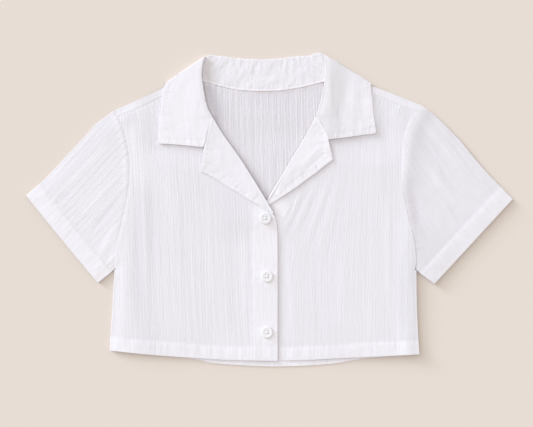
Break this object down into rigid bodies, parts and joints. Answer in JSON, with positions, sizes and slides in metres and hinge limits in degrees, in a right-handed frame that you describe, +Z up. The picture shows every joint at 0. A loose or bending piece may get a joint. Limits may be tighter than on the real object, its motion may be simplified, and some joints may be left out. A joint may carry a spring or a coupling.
{
  "type": "crop top",
  "caption": "Boxy cropped camp-collar shirt with short sleeves and a buttoned front, in white crinkle cotton, laid flat on its back.",
  "frame": {"origin": "on the supporting surface, under the middle of the laid-out shirt", "axes": "+Z up from the surface, out of the front; +Y from hem to neck; +X towards the wearer's left sleeve"},
  "size_m": [0.7537, 0.4906, 0.0099],
  "materials": {
    "crinkle_cotton": "matt white crinkled cotton gauze",
    "collar_cotton": "matt white cotton, pressed smoother",
    "button": "satin white resin"
  },
  "bodies": {
    "root": {"back": "crinkle_cotton", "front_right": "crinkle_cotton", "front_left": "crinkle_cotton", "facing_right": "collar_cotton", "facing_left": "collar_cotton", "sleeve_right": "crinkle_cotton", "sleeve_left": "crinkle_cotton", "collar": "collar_cotton", "button_1": "button", "button_2": "button", "button_3": "button"}
  },
  "joints": []
}
